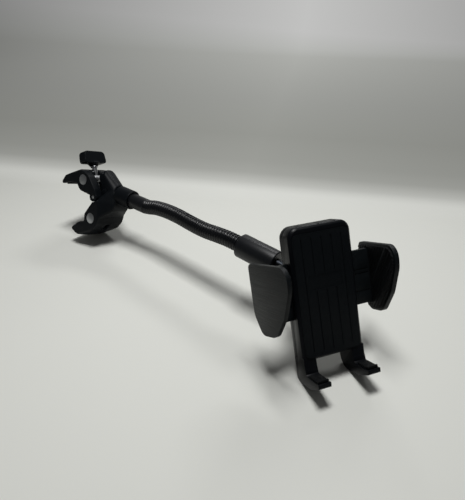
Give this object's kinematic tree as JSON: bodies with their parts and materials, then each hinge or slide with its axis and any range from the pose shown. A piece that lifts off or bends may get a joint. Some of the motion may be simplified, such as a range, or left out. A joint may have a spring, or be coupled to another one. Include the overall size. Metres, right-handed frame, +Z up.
{
  "type": "handlebar phone holder",
  "caption": "Phone cradle with geared side arms and hooks on a ball joint, a flexible neck and a screw clamp for a bar.",
  "frame": {"origin": "centre of the bounding box on the surface that the holder lies on", "axes": "+X the horizontal direction that the phone's face looks in, +Y along the phone's width, +Z up"},
  "size_m": [0.3796, 0.2432, 0.1213],
  "materials": {
    "shell": "smooth",
    "pad": "matte",
    "arm": "fine brushed lines",
    "liner": "ribbed",
    "gear": "smooth",
    "steel": "bright",
    "spring": "drawn",
    "button": "fine grain",
    "stud": "smooth",
    "collar": "satin black",
    "neck": "ringed",
    "jaw": "fine grain",
    "knob": "fine grain"
  },
  "bodies": {
    "clamp": {"lower_jaw": "jaw", "hinge_pin": "steel", "lower_claw_pad": "liner", "neck_sleeve": "collar", "sleeve_set_screw": "steel", "gooseneck": "neck"},
    "upper_jaw": {"upper_jaw": "jaw", "upper_claw_pad": "liner"},
    "upper_nut": {"upper_barrel_nut": "steel"},
    "lower_nut": {"lower_barrel_nut": "steel"},
    "knob": {"clamp_knob": "knob", "clamp_screw": "steel", "knob_washer": "steel"},
    "neck_head": {"neck_collar": "collar", "collar_set_screw": "steel"},
    "stud": {"ball_stud": "stud"},
    "ring": {"ring_nut": "arm"},
    "cradle": {"rear_cover": "shell", "front_housing": "shell", "face_pad": "pad", "left_hook_sole": "liner", "right_hook_sole": "liner", "gear_axle": "steel", "button_spring": "spring", "cover_screws": "steel"},
    "left_arm": {"left_arm": "arm", "left_arm_liner": "liner"},
    "right_arm": {"right_arm": "arm", "right_arm_liner": "liner"},
    "pinion": {"pinion_gear": "gear"},
    "button": {"release_button": "button"}
  },
  "joints": [
    {"name": "knob_turn", "type": "hinge", "parent": "upper_nut", "child": "knob", "pos_m": [-0.16039, -0.0818, 0.08396], "axis": [-0.5363, 0.0049, 0.844], "range_deg": [-1620, 380]},
    {"name": "jaw_hinge", "type": "hinge", "parent": "clamp", "child": "upper_jaw", "pos_m": [-0.13184, -0.07489, 0.05467], "axis": [-0.5432, 0.7633, -0.3496], "range_deg": [-17.2, 4.2]},
    {"name": "upper_nut_turn", "type": "hinge", "parent": "upper_jaw", "child": "upper_nut", "pos_m": [-0.15128, -0.08188, 0.06961], "axis": [0.5432, -0.7633, 0.3496], "range_deg": [-9, 9]},
    {"name": "lower_nut_turn", "type": "hinge", "parent": "clamp", "child": "lower_nut", "pos_m": [-0.12661, -0.08211, 0.03078], "axis": [-0.5432, 0.7633, -0.3496], "range_deg": [-9, 9]},
    {"name": "neck_bend", "type": "hinge", "parent": "clamp", "child": "neck_head", "pos_m": [-0.01831, -0.00098, 0.06449], "axis": [0.4939, -0.8695, 0], "range_deg": [-35, 35], "deforming": ["gooseneck"]},
    {"name": "ball_swivel", "type": "hinge", "parent": "neck_head", "child": "stud", "pos_m": [0.1059, 0.06786, 0.06099], "axis": [-0.8677, -0.4929, 0.0645], "continuous": true},
    {"name": "cradle_tilt", "type": "hinge", "parent": "stud", "child": "ring", "pos_m": [0.1059, 0.06786, 0.06099], "axis": [0.3231, -0.6578, -0.6804], "range_deg": [-85, 4]},
    {"name": "cradle_turn", "type": "hinge", "parent": "ring", "child": "cradle", "pos_m": [0.1059, 0.06786, 0.06099], "axis": [0.9033, 0, 0.4289], "continuous": true},
    {"name": "left_arm_slide", "type": "slide", "parent": "cradle", "child": "left_arm", "axis": [0, -1, 0], "range_m": [-0.0156, 0.0066]},
    {"name": "right_arm_slide", "type": "slide", "parent": "cradle", "child": "right_arm", "axis": [0, 1, 0], "range_m": [-0.015, 0.006]},
    {"name": "pinion_turn", "type": "hinge", "parent": "cradle", "child": "pinion", "pos_m": [0.12754, 0.06786, 0.06905], "axis": [0.9033, 0, 0.4289], "range_deg": [-132, 58]},
    {"name": "button_press", "type": "slide", "parent": "cradle", "child": "button", "axis": [0.9033, 0, 0.4289], "range_m": [0, 0.002], "stiffness_N_per_m": 400, "springref_m": -0.003, "deforming": ["button_spring"]}
  ],
  "couplings": [
    {"joint": "jaw_hinge", "follows": "knob_turn", "ratio": 0.0105},
    {"joint": "upper_nut_turn", "follows": "knob_turn", "ratio": 0.00525},
    {"joint": "lower_nut_turn", "follows": "knob_turn", "ratio": 0.00525},
    {"joint": "left_arm_slide", "follows": "right_arm_slide", "ratio": 1},
    {"joint": "pinion_turn", "follows": "right_arm_slide", "rad_per_m": 142.86}
  ]
}
